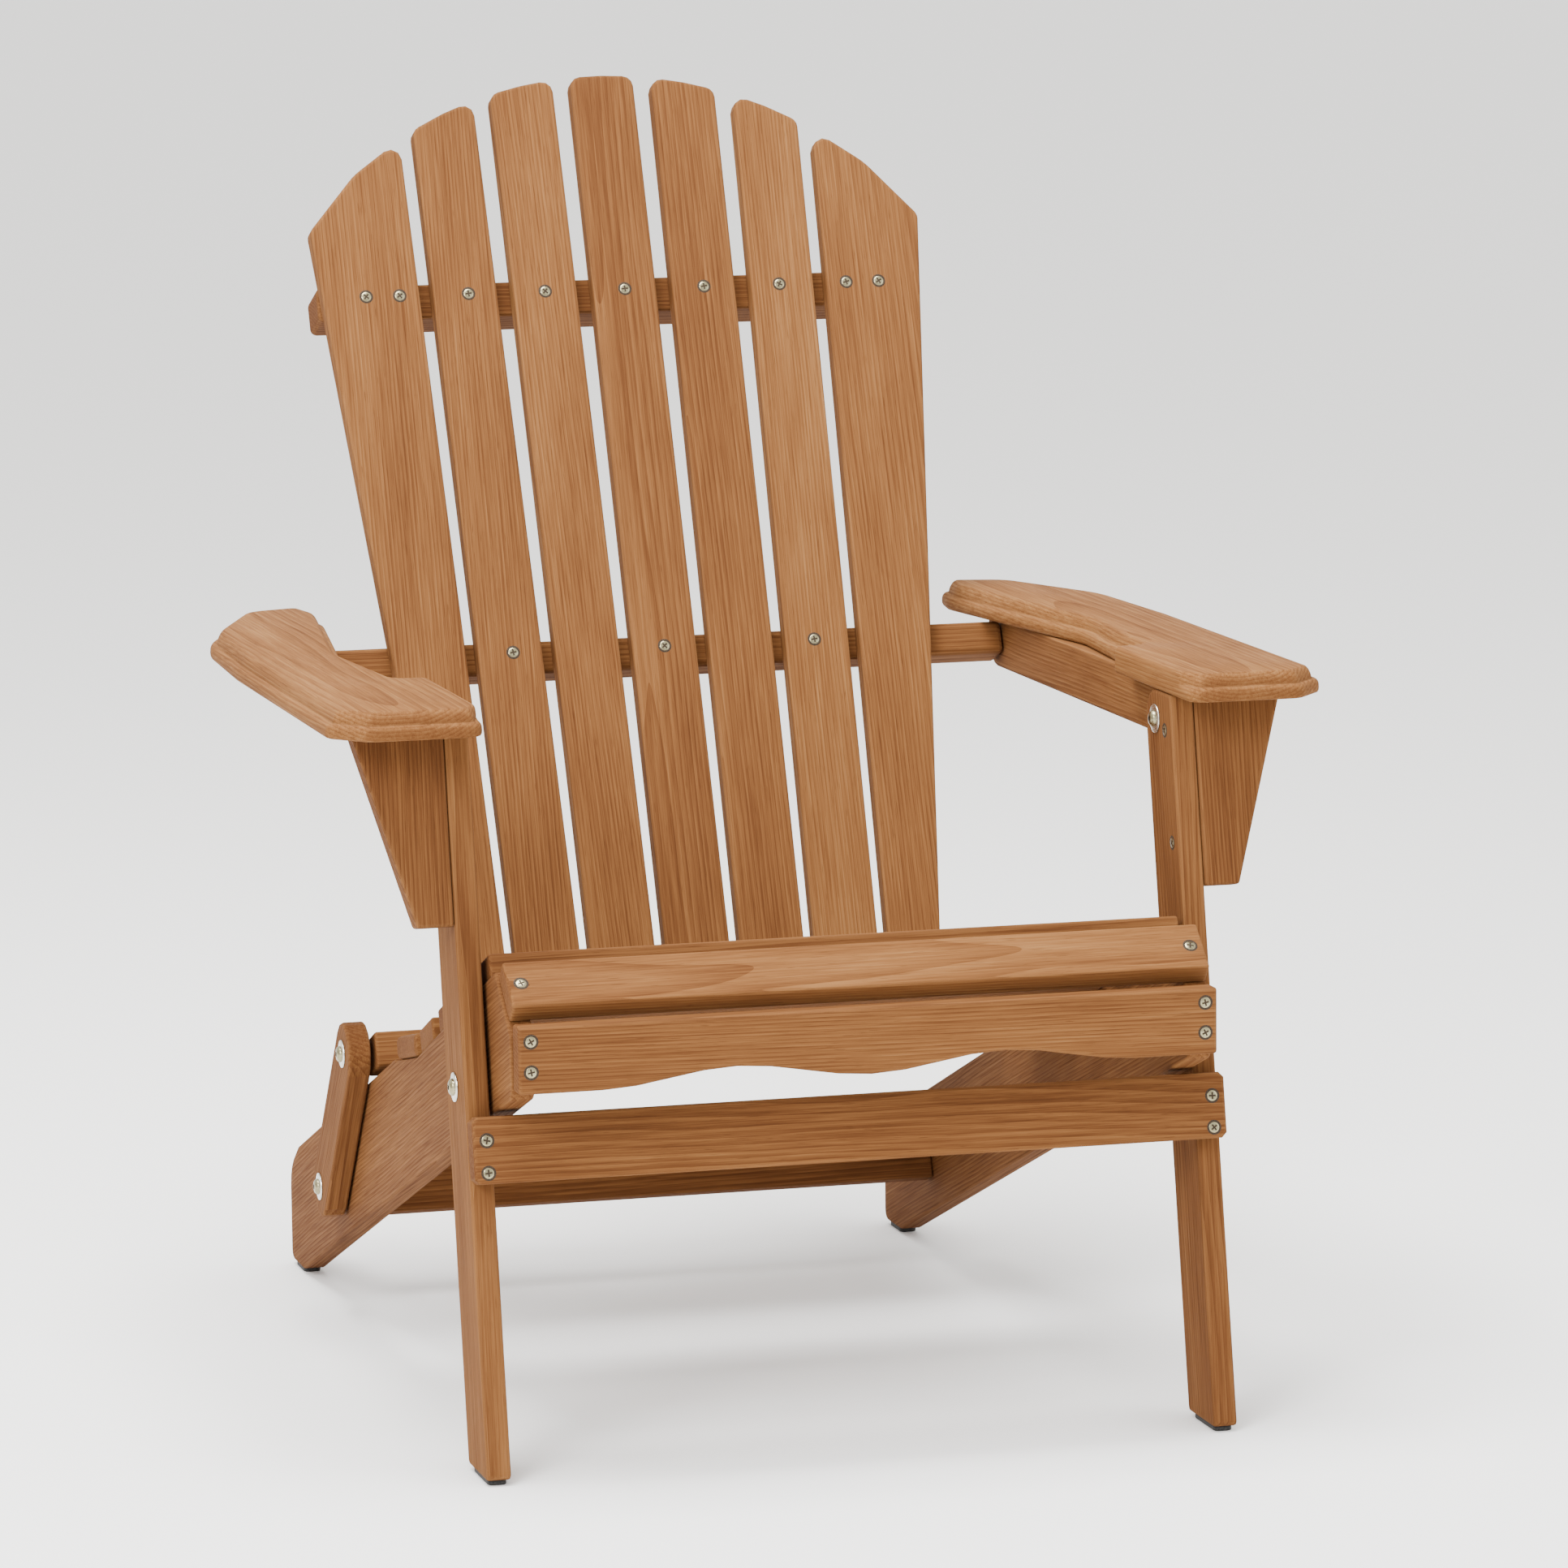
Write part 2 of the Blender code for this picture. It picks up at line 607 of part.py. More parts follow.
def crown(x):
    """Height of the back's round top at a distance from the middle."""
    return CROWN_HEIGHT - CROWN_RADIUS + sqrt(CROWN_RADIUS ** 2 - x ** 2)


def slat_outline(inner, outer, fans):
    """A slat whose edges spread by fans per metre, cut at the crown with rounded corners."""
    foot = SLAT_FOOT

    def edge_at(offset, fan, height):
        return offset + fan * height

    top_inner = crown(edge_at(inner, fans[0], CROWN_HEIGHT))
    top_outer = crown(edge_at(outer, fans[1], crown(outer)))
    low_inner = edge_at(inner, fans[0], foot)
    low_outer = edge_at(outer, fans[1], foot)
    high_inner = edge_at(inner, fans[0], top_inner)
    high_outer = edge_at(outer, fans[1], top_outer)
    middle = (high_inner + high_outer) / 2
    return rounded([
        (low_inner, foot, 0.002), (low_outer, foot, 0.002), (high_outer, top_outer, 0.009),
        (middle, crown(middle), 0.060), (high_inner, top_inner, 0.009),
    ])


def make_back():
    half = SLAT_WIDTH / 2
    for number in range(1, 8):
        rank = abs(number - 4)
        side = 1 if number > 4 else -1
        if rank == 3:
            outline = slat_outline(OUTER_SLAT_INNER, OUTER_SLAT_OUTER, OUTER_SLAT_FANS)
        else:
            middle = rank * SLAT_PITCH
            fan = rank * SLAT_FAN
            outline = slat_outline(middle - half, middle + half, (fan, fan))
        outline = [(side * x, y) for x, y in outline]
        board(f"back_slat_{number}", [outline], -SLAT_THICK, 0, BACK_FACE, BACK_AXIS)
    front = -SLAT_BACK
    low, high = BATTEN_RISE, BATTEN_RISE + BATTEN_HEIGHT
    outline = rectangle(-BATTEN_HALF, BATTEN_HALF, low, high, 0.005)
    board("upper_batten", [outline], front - BATTEN_DEPTH, front, BACK_FACE, BACK_AXIS)
    half = LEG_OUTER
    outline = rectangle(-half, half, -MID_RAIL_HEIGHT / 2, MID_RAIL_HEIGHT / 2)
    rail = board(
        "mid_rail", [outline], front - MID_RAIL_DEPTH, front, BACK_FACE, BACK_AXIS, edge=0.004
    )
    for _, side in SIDES:
        drill(rail, ARM_REAR_PIVOT, half - BLIND_BORE, half + 0.01, side)
    half = HALF_SEAT - SEAT_INSET
    outline = rectangle(-half, half, LOWER_RAIL_TOP - LOWER_RAIL_HEIGHT, LOWER_RAIL_TOP)
    rail = board("lower_rail", [outline], front - LOWER_RAIL_DEPTH, front, BACK_FACE, BACK_AXIS)
    for _, side in SIDES:
        drill(rail, BACK_PIVOT, half - BLIND_BORE, half + 0.01, side)


def make_links():
    for side_name, side in SIDES:
        middle = side * (LINK_INNER + LINK_OUTER) / 2
        link = board(
            "link_" + side_name, [stadium(LINK_PIVOT, BACK_PIVOT, LINK_WIDTH / 2)],
            -BOARD / 2, BOARD / 2, side_frame(middle), LINK_AXIS,
        )
        drill(link, LINK_PIVOT, LINK_INNER - 0.01, LINK_OUTER + 0.01, side)
        drill(link, BACK_PIVOT, LINK_INNER - 0.01, LINK_OUTER + 0.01, side)


# Bolts, nuts and washers

def make_fastenings():
    through = STRINGER_INNER - GAP - NUT_THICK - 0.002
    under_nut = STRINGER_INNER - GAP - NUT_THICK
    for side_name, side in SIDES:
        bolt("leg_bolt_" + side_name, LEG_PIVOT, LEG_OUTER, through, side, SEAT_FRAME)
        nut("leg_nut_" + side_name, LEG_PIVOT, under_nut, side, SEAT_FRAME)
        washer(
            "leg_spacer_" + side_name, LEG_PIVOT, HALF_SEAT + GAP, LEG_INNER - GAP, side,
            SEAT_FRAME,
        )
        bolt("link_bolt_" + side_name, LINK_PIVOT, LINK_OUTER, through, side, SEAT_FRAME)
        nut("link_nut_" + side_name, LINK_PIVOT, under_nut, side, SEAT_FRAME)
        washer(
            "link_spacer_" + side_name, LINK_PIVOT, HALF_SEAT + GAP, LINK_INNER - GAP, side,
            SEAT_FRAME,
        )
        bolt(
            "arm_bolt_" + side_name, ARM_PIVOT, LEG_INNER, LEG_OUTER, side, LEG_AXIS, outward=-1
        )
        nut("arm_nut_" + side_name, ARM_PIVOT, RAIL_OUTER + GAP, side, ARM_AXIS)
        bolt(
            "arm_rear_bolt_" + side_name, ARM_REAR_PIVOT, RAIL_OUTER, LEG_OUTER - BLIND_BORE + 0.002,
            side, ARM_AXIS,
        )
        end = HALF_SEAT - SEAT_INSET - BLIND_BORE + 0.002
        bolt("back_bolt_" + side_name, BACK_PIVOT, LINK_OUTER, end, side, BACK_AXIS)


make_stringers()
make_apron()
make_seat()
make_rear_stretcher()
make_legs()
make_arms()
make_back()
make_links()
make_fastenings()
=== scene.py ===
"""Looks of the folding adirondack chair: stained wood, plated fasteners, shaped arms."""
import json
from math import atan2, cos, pi, radians, sin, tan
from random import Random

import bmesh
import bpy
from mathutils import Matrix, Vector

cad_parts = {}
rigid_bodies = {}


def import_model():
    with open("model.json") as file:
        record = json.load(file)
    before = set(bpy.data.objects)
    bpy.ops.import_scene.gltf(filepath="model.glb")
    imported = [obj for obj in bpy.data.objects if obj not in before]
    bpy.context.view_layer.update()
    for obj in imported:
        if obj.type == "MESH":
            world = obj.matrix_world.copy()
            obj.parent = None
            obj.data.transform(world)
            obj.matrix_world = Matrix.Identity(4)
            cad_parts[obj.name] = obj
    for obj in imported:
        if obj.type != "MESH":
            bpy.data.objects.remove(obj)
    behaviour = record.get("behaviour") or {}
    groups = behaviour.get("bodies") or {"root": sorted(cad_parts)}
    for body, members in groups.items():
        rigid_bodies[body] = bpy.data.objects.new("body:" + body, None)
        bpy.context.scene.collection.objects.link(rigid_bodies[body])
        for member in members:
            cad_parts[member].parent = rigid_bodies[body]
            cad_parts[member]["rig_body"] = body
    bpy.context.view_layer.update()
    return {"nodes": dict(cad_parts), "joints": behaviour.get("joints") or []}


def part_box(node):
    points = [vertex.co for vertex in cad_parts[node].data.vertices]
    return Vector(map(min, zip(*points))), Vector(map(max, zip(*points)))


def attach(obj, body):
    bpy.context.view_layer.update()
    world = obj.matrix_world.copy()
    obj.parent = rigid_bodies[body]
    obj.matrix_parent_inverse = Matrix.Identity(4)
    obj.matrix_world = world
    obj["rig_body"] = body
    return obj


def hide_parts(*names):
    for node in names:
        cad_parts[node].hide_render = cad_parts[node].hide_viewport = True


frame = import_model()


NODES = frame["nodes"]
JOINTS = {joint["name"]: Vector(joint["pos_m"]) for joint in frame["joints"]}

# Sizes of the frame that the boxes don't give
BOARD = 0.0185
LEG_LEAN = radians(10.8)
BACK_LEAN = radians(22.6)
SEAT_SLOPE = radians(22.2)
NOSE_SLOPE = radians(40)
BAR_SLOPE = radians(12)
FRAME_SLOPE = radians(20.1)
DEPTH_CENTRE = 0.39925        # from the front of the feet to the chair's middle
SIDES = (("left", 1), ("right", -1))

X, Y, Z = Vector((1, 0, 0)), Vector((0, 1, 0)), Vector((0, 0, 1))
LEG_UP = Vector((0, sin(LEG_LEAN), cos(LEG_LEAN)))
BACK_UP = Vector((0, sin(BACK_LEAN), cos(BACK_LEAN)))
FRAME_UP = Vector((0, sin(FRAME_SLOPE), cos(FRAME_SLOPE)))
FRAME_BACK = Vector((0, cos(FRAME_SLOPE), -sin(FRAME_SLOPE)))
SEAT_BACK = Vector((0, cos(SEAT_SLOPE), -sin(SEAT_SLOPE)))
NOSE_BACK = Vector((0, cos(NOSE_SLOPE), sin(NOSE_SLOPE)))
BAR_BACK = Vector((0, cos(BAR_SLOPE), -sin(BAR_SLOPE)))
LINK_UP = (JOINTS["back_fold"] - JOINTS["link_fold"]).normalized()


def at(x, y, z):
    return Vector((x, y - DEPTH_CENTRE, z))


def facing(origin, x_axis, y_axis):
    """A matrix whose z is the outward normal of a surface."""
    columns = Matrix((x_axis, y_axis, x_axis.cross(y_axis))).transposed()
    return Matrix.Translation(origin) @ columns.to_4x4()


# Shader nodes

class Graph:
    def __init__(self, tree):
        self.tree = tree

    def node(self, kind, inputs=(), **settings):
        node = self.tree.nodes.new(kind)
        for name, value in settings.items():
            setattr(node, name, value)
        for key, value in dict(inputs).items():
            if isinstance(value, bpy.types.NodeSocket):
                self.tree.links.new(value, node.inputs[key])
            else:
                node.inputs[key].default_value = value
        return node

    def math(self, operation, first, second=0.0, clamp=False):
        node = self.node("ShaderNodeMath", {0: first, 1: second}, operation=operation)
        node.use_clamp = clamp
        return node.outputs[0]

    def vector(self, operation, first, second):
        node = self.node("ShaderNodeVectorMath", {0: first, 1: second}, operation=operation)
        return node.outputs["Value" if operation == "DOT_PRODUCT" else "Vector"]

    def noise(self, place, stretch, detail=2.0, roughness=0.5):
        stretched = self.vector("MULTIPLY", place, stretch)
        settings = {"Vector": stretched, "Scale": 1.0, "Detail": detail, "Roughness": roughness}
        return self.node("ShaderNodeTexNoise", settings)

    def span(self, value, low, high, to_low=0.0, to_high=1.0):
        limits = {"Value": value, 1: low, 2: high, 3: to_low, 4: to_high}
        return self.node("ShaderNodeMapRange", limits).outputs["Result"]

    def mix(self, factor, first, second, blend="MIX"):
        settings = {0: factor, 6: first, 7: second}
        return self.node("ShaderNodeMix", settings, data_type="RGBA", blend_type=blend).outputs[2]

    def ramp(self, value, stops):
        node = self.node("ShaderNodeValToRGB", {"Fac": value})
        elements = node.color_ramp.elements
        while len(elements) < len(stops):
            elements.new(0.5)
        for element, (position, colour) in zip(elements, stops):
            element.position = position
            element.color = (*colour, 1)
        return node.outputs["Color"]


# Stain from dark to light, then the stain in pores and on end faces, and a lighter colour on edges
# that is partly wear and partly a painted highlight
STAIN = (
    (0.0, (0.042, 0.0140, 0.0050)),
    (0.35, (0.095, 0.0350, 0.0110)),
    (0.65, (0.160, 0.0665, 0.0210)),
    (1.0, (0.250, 0.122, 0.0430)),
)
PORE_STAIN = (0.048, 0.015, 0.004, 1)
END_STAIN = (0.070, 0.022, 0.006, 1)
WORN_AND_HIGHLIGHT_STAIN = (0.300, 0.145, 0.056, 1)
RING_SCALE = 105.0
WEAR_AND_HIGHLIGHT_RADIUS = 0.0028
SOFT_RADIUS = 0.0022


def stained_wood_group():
    """Wood cut from a trunk whose axis is x: growth rings, fibres, pores and stain."""
    group = bpy.data.node_groups.new("stained_wood", "ShaderNodeTree")
    sockets = group.interface
    sockets.new_socket("Grain", in_out="INPUT", socket_type="NodeSocketVector")
    sockets.new_socket("End Face", in_out="INPUT", socket_type="NodeSocketFloat")
    sockets.new_socket("Tone", in_out="INPUT", socket_type="NodeSocketFloat")
    sockets.new_socket("Color", in_out="OUTPUT", socket_type="NodeSocketColor")
    sockets.new_socket("Roughness", in_out="OUTPUT", socket_type="NodeSocketFloat")
    sockets.new_socket("Height", in_out="OUTPUT", socket_type="NodeSocketFloat")
    graph = Graph(group)
    given = graph.node("NodeGroupInput").outputs
    grain = given["Grain"]

    wander = graph.noise(grain, (2.4, 14, 14), detail=2).outputs["Color"]
    wander = graph.vector("SUBTRACT", wander, (0.5, 0.5, 0.5))
    wander = graph.vector("MULTIPLY", wander, (0, 0.012, 0.012))
    trunk = graph.vector("ADD", grain, wander)
    rings = graph.node(
        "ShaderNodeTexWave", {"Vector": trunk, "Scale": RING_SCALE, "Distortion": 0.0},
        wave_type="RINGS", rings_direction="X", wave_profile="SAW",
    ).outputs["Fac"]
    rings = graph.math("POWER", rings, 1.8)
    fibres = graph.noise(grain, (10, 480, 480), detail=3, roughness=0.65).outputs["Fac"]
    hairs = graph.noise(grain, (22, 1500, 1500), detail=2).outputs["Fac"]
    patches = graph.noise(grain, (3.0, 20, 20), detail=3).outputs["Fac"]
    pores = graph.span(graph.noise(grain, (55, 1300, 1300), detail=1).outputs["Fac"], 0.66, 0.74)

    shade = graph.math("MULTIPLY", rings, -0.22)
    shade = graph.math("ADD", shade, graph.span(fibres, 0.3, 0.7, -0.14, 0.14))
    shade = graph.math("ADD", shade, graph.span(hairs, 0.3, 0.7, -0.09, 0.09))
    shade = graph.math("ADD", shade, graph.span(patches, 0.3, 0.7, -0.10, 0.10))
    shade = graph.math("ADD", shade, given["Tone"])
    stain = graph.ramp(shade, STAIN)
    stain = graph.mix(graph.math("MULTIPLY", pores, 0.45), stain, PORE_STAIN)
    end_face = graph.span(given["End Face"], 0.75, 0.95)
    stain = graph.mix(graph.math("MULTIPLY", end_face, 0.38), stain, END_STAIN)

    # Edges lighter all round: partly wear, partly a painted highlight where light catches the
    # rounded edges
    rounded_normal = graph.node("ShaderNodeBevel", {"Radius": WEAR_AND_HIGHLIGHT_RADIUS}, samples=4).outputs[0]
    true_normal = graph.node("ShaderNodeNewGeometry").outputs["True Normal"]
    turn = graph.vector("DOT_PRODUCT", rounded_normal, true_normal)
    edges = graph.span(turn, 0.995, 0.86)
    wear_and_highlight = graph.math("MULTIPLY", edges, graph.span(patches, 0.35, 0.65, 0.10, 0.55))
    stain = graph.mix(wear_and_highlight, stain, WORN_AND_HIGHLIGHT_STAIN)

    roughness = graph.span(fibres, 0.3, 0.7, 0.82, 0.70)
    roughness = graph.math("ADD", roughness, graph.math("MULTIPLY", rings, 0.08))
    height = graph.math("MULTIPLY", rings, -0.25)
    height = graph.math("ADD", height, graph.math("MULTIPLY", fibres, 0.55))
    height = graph.math("SUBTRACT", height, graph.math("MULTIPLY", pores, 0.35))
    graph.node("NodeGroupOutput", {"Color": stain, "Roughness": roughness, "Height": height})
    return group


def blank_material(name):
    material = bpy.data.materials.new(name)
    material.use_nodes = True
    return material, Graph(material.node_tree), material.node_tree.nodes["Principled BSDF"]


def wood(name, along, across, seed):
    """A board's own piece of the stained wood, with the grain along it."""
    material, graph, shader = blank_material(name)
    chance = Random(seed)
    lean = Vector((0, chance.uniform(-0.016, 0.016), chance.uniform(-0.012, 0.012)))
    across = (across - along * across.dot(along)).normalized()
    rows = Matrix((along, across, along.cross(across)))
    tilt = Matrix(((1, -lean.y, -lean.z), (lean.y, 1, 0), (lean.z, 0, 1)))
    turn = (tilt @ rows).to_euler()
    middle = sum((Vector(corner) for corner in BOXES[name]), Vector()) / 2
    trunk = Vector((
        chance.uniform(-5, 5), chance.choice((-1, 1)) * chance.uniform(0.02, 0.14),
        chance.uniform(0.01, 0.06),
    ))
    if name in FLAT_SAWN:
        trunk = Vector((trunk.x, *FLAT_SAWN_TRUNK))
    place = trunk - turn.to_matrix() @ middle
    source = graph.node("ShaderNodeTexCoord").outputs
    grain = graph.node(
        "ShaderNodeMapping",
        {"Vector": source["Object"], "Location": tuple(place), "Rotation": tuple(turn)},
    ).outputs[0]
    end_face = graph.math("ABSOLUTE", graph.vector("DOT_PRODUCT", source["Normal"], tuple(along)))
    board = graph.node("ShaderNodeGroup", node_tree=STAINED_WOOD)
    graph.tree.links.new(grain, board.inputs["Grain"])
    graph.tree.links.new(end_face, board.inputs["End Face"])
    tone = BOARD_TONES_AND_PAINTED_LIGHT[name] if name in BOARD_TONES_AND_PAINTED_LIGHT else PLAIN_TONE + chance.uniform(-0.10, 0.10)
    board.inputs["Tone"].default_value = tone
    soft = graph.node("ShaderNodeBevel", {"Radius": SOFT_RADIUS}, samples=4).outputs[0]
    bump = graph.node(
        "ShaderNodeBump",
        {"Strength": 0.35, "Distance": 0.0006, "Height": board.outputs["Height"], "Normal": soft},
    )
    graph.tree.links.new(board.outputs["Color"], shader.inputs["Base Color"])
    graph.tree.links.new(board.outputs["Roughness"], shader.inputs["Roughness"])
    graph.tree.links.new(bump.outputs[0], shader.inputs["Normal"])
    shader.inputs["Specular IOR Level"].default_value = 0.06
    return material


def metal(name, light, dark, rough):
    """Zinc plate with cloudy passivation and fine scratches."""
    material, graph, shader = blank_material(name)
    place = graph.node("ShaderNodeTexCoord").outputs["Object"]
    clouds = graph.noise(place, (260, 260, 260), detail=3).outputs["Fac"]
    scratches = graph.noise(place, (400, 3600, 400), detail=2).outputs["Fac"]
    colour = graph.mix(graph.span(clouds, 0.35, 0.65), (*dark, 1), (*light, 1))
    roughness = graph.math("ADD", graph.span(scratches, 0.3, 0.7, -0.06, 0.10), rough)
    bump = graph.node(
        "ShaderNodeBump", {"Strength": 0.1, "Distance": 0.00004, "Height": scratches}
    )
    graph.tree.links.new(colour, shader.inputs["Base Color"])
    graph.tree.links.new(roughness, shader.inputs["Roughness"])
    graph.tree.links.new(bump.outputs[0], shader.inputs["Normal"])
    shader.inputs["Metallic"].default_value = 1.0
    return material


def dark_finish(name, light, dark, scale):
    """Moulded plastic, or the dark finish in screw recesses and round screw holes: painted shade,
    with dirt and stain.
    """
    material, graph, shader = blank_material(name)
    place = graph.node("ShaderNodeTexCoord").outputs["Object"]
    mottle = graph.noise(place, (scale, scale, scale), detail=3).outputs["Fac"]
    colour = graph.mix(graph.span(mottle, 0.35, 0.65), (*dark, 1), (*light, 1))
    bump = graph.node("ShaderNodeBump", {"Strength": 0.25, "Distance": 0.0002, "Height": mottle})
    graph.tree.links.new(colour, shader.inputs["Base Color"])
    graph.tree.links.new(graph.span(mottle, 0.3, 0.7, 0.5, 0.7), shader.inputs["Roughness"])
    shader.inputs["Specular IOR Level"].default_value = 0.15
    graph.tree.links.new(bump.outputs[0], shader.inputs["Normal"])
    return material


# Boards with a tone of their own: the arms are lighter as painted light, for the light falling on
# their tops from above; the back slats differ from board to board; the seat's front slat is
# lighter; the brackets, apron, stretchers, rail and batten are darker
BOARD_TONES_AND_PAINTED_LIGHT = {
    "back_slat_1": 0.60, "back_slat_2": 0.59, "back_slat_3": 0.61, "back_slat_4": 0.55,
    "back_slat_5": 0.58, "back_slat_6": 0.72, "back_slat_7": 0.61, "arm_left": 0.72,
    "arm_right": 0.72, "bracket_left": 0.52, "bracket_right": 0.46, "seat_slat_1": 0.66,
    "apron": 0.59, "front_stretcher": 0.55, "mid_rail": 0.52, "upper_batten": 0.48,
    "rear_stretcher": 0.48,
}
PLAIN_TONE = 0.60
FLAT_SAWN = ("arm_left", "arm_right")
FLAT_SAWN_TRUNK = (0.012, 0.100)     # the board's middle from the trunk's axis
STAINED_WOOD = stained_wood_group()
BOXES = {name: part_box(name) for name in NODES}
ZINC = metal("bright_zinc", (0.62, 0.60, 0.54), (0.50, 0.48, 0.42), 0.24)
YELLOW_ZINC = metal("yellow_zinc", (0.34, 0.31, 0.19), (0.24, 0.21, 0.12), 0.26)
BLACK_PLASTIC = dark_finish("black_plastic", (0.040, 0.038, 0.036), (0.012, 0.012, 0.012), 900)
# Painted shade, with dirt and stain, for the walls of recesses and sockets and the rims of screw
# holes
RECESS_SHADE_AND_DIRT = dark_finish("screw_recess_shade_and_dirt", (0.050, 0.032, 0.018), (0.012, 0.008, 0.005), 1500)

GRAIN = {
    "stringer": (FRAME_BACK, Z), "front_leg": (LEG_UP, Y), "bracket": (LEG_UP, X),
    "link": (LINK_UP, Y), "arm_rail": (Y, Z), "arm": (Y, X), "back_slat": (BACK_UP, X),
    "apron": (X, Z), "front_stretcher": (X, LEG_UP), "rear_stretcher": (X, FRAME_UP),
    "seat_slat": (X, SEAT_BACK), "seat_rear_bar": (X, BAR_BACK), "upper_batten": (X, BACK_UP),
    "mid_rail": (X, BACK_UP), "lower_rail": (X, BACK_UP),
}
METAL_WORDS = ("bolt", "nut", "spacer")
PLASTIC_WORDS = ("glide", "bumper")


def finish_of(name, seed):
    if any(word in name for word in METAL_WORDS):
        return ZINC
    if any(word in name for word in PLASTIC_WORDS):
        return BLACK_PLASTIC
    kind = max((key for key in GRAIN if name.startswith(key)), key=len)
    return wood(name, *GRAIN[kind], seed)


FINISHES = {name: finish_of(name, seed) for seed, name in enumerate(sorted(NODES))}
for node_name, node in NODES.items():
    node.data.materials.clear()
    node.data.materials.append(FINISHES[node_name])


# New pieces

def add_piece(name, mesh, body, replaced=()):
    piece = bpy.data.objects.new(name, mesh)
    bpy.context.scene.collection.objects.link(piece)
    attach(piece, body)
    if replaced:
        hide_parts(*replaced)
    return piece


def mesh_from(shape, name, materials):
    bmesh.ops.recalc_face_normals(shape, faces=shape.faces)
    mesh = bpy.data.meshes.new(name)
    shape.to_mesh(mesh)
    shape.free()
    for material in materials:
        mesh.materials.append(material)
    return mesh


# Arms

def rounded(corners, steps=8):
    """An outline from (x, y, radius) corners, with an arc in place of each."""
    outline = []
    for i, (x, y, radius) in enumerate(corners):
        here = Vector((x, y))
        before = (Vector(corners[i - 1][:2]) - here).normalized()
        after = (Vector(corners[(i + 1) % len(corners)][:2]) - here).normalized()
        half = before.angle(after) / 2
        centre = here + (before + after).normalized() * radius / sin(half)
        first = here + before * radius / tan(half) - centre
        last = here + after * radius / tan(half) - centre
        turn = first.angle_signed(last)
        start = atan2(first.y, first.x)
        for step in range(steps + 1):
            angle = start - turn * step / steps
            outline.append(centre + Vector((cos(angle), sin(angle))) * radius)
    return outline


def resampled(outline, spacing):
    """The outline with points spaced evenly along each of its sides."""
    points = []
    for i, point in enumerate(outline):
        following = outline[(i + 1) % len(outline)]
        count = max(1, round((following - point).length / spacing))
        points += [point.lerp(following, step / count) for step in range(count)]
    return points


def inward_normals(points):
    normals = []
    for i in range(len(points)):
        way = (points[(i + 1) % len(points)] - points[i - 1]).normalized()
        normals.append(Vector((-way.y, way.x)))
    return normals


ARM_WIDTH = 0.1131
ARM_NOTCH = 0.235             # from the front of the feet to the step in the inner edge
OUTLINE_SPACING = 0.003
# Edge sections as (inset in metres, height as a share of the arm's thickness)
MOULDED_EDGE = (
    (0.0028, 0.00), (0.0010, 0.03), (0.0002, 0.10), (0.0000, 0.20), (0.0002, 0.34),
    (0.0008, 0.42), (0.0018, 0.48), (0.0030, 0.515), (0.0056, 0.525), (0.0060, 0.62),
    (0.0068, 0.74), (0.0079, 0.84), (0.0092, 0.92), (0.0104, 0.97), (0.0118, 1.0),
)
PLAIN_EDGE = (
    (0.0028, 0.00), (0.0010, 0.03), (0.0002, 0.10), (0.0000, 0.20), (0.0000, 0.34),
    (0.0000, 0.42), (0.0000, 0.48), (0.0000, 0.515), (0.0000, 0.525), (0.0000, 0.62),
    (0.0001, 0.74), (0.0004, 0.84), (0.0010, 0.92), (0.0019, 0.97), (0.0032, 1.0),
)


def eased(value, low, high):
    share = min(1, max(0, (value - low) / (high - low)))
    return share * share * (3 - 2 * share)


def make_arm(name, side):
    """An arm with a stepped cove along its edge, all but the straight edge beside the seat."""
    low, high = (Vector(corner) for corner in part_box(name))
    outer = max(abs(low.x), abs(high.x))
    inner = outer - ARM_WIDTH
    front, rear = low.y, high.y
    notch = at(0, ARM_NOTCH, 0).y
    # Each is (distance out from the inner edge, y, radius)
    corners = [
        (0, front, 0.014), (0, notch, 0.006), (0.0181, notch + 0.015, 0.010),
        (0.0296, notch + 0.170, 0.130), (-0.0079, rear - 0.0477, 0.060),
        (0.0001, rear + 0.0033, 0.016), (0.0581, rear - 0.0147, 0.040),
        (0.1061, rear - 0.1377, 0.150), (ARM_WIDTH, rear - 0.2927, 0.300),
        (ARM_WIDTH, front + 0.030, 0.016), (0.0881, front, 0.016),
    ]
    corners = [(inner + x, y, radius) for x, y, radius in corners]
    outline = resampled(rounded(corners, steps=12), OUTLINE_SPACING)[::-1]
    inwards = inward_normals(outline)
    shape = bmesh.new()
    rows = []
    for (moulded, share), (plain, _) in zip(MOULDED_EDGE, PLAIN_EDGE):
        row = []
        for point, inward in zip(outline, inwards):
            beside_seat = eased(point.x, inner + 0.018, inner + 0.004)
            beside_seat *= eased(point.y, front + 0.010, front + 0.034)
            beside_seat *= eased(point.y, notch + 0.017, notch + 0.004)
            inset = moulded + (plain - moulded) * beside_seat
            spot = point + inward * inset
            height = low.z + share * (high.z - low.z)
            row.append(shape.verts.new((side * spot.x, spot.y, height)))
        rows.append(row)
    for lower, upper in zip(rows, rows[1:]):
        for i in range(len(lower)):
            j = (i + 1) % len(lower)
            shape.faces.new((lower[i], lower[j], upper[j], upper[i]))
    for row in (rows[0], rows[-1]):
        rim = [shape.edges.get((vert, row[i - 1])) for i, vert in enumerate(row)]
        bmesh.ops.triangle_fill(shape, use_beauty=True, edges=rim)
    mesh = mesh_from(shape, name + "_moulded", [FINISHES[name]])
    mesh.shade_smooth()
    mesh.set_sharp_from_angle(angle=radians(32))
    add_piece(name + "_moulded", mesh, "arms", (name,))


for side_name, side in SIDES:
    make_arm("arm_" + side_name, side)


# Screws and bolts

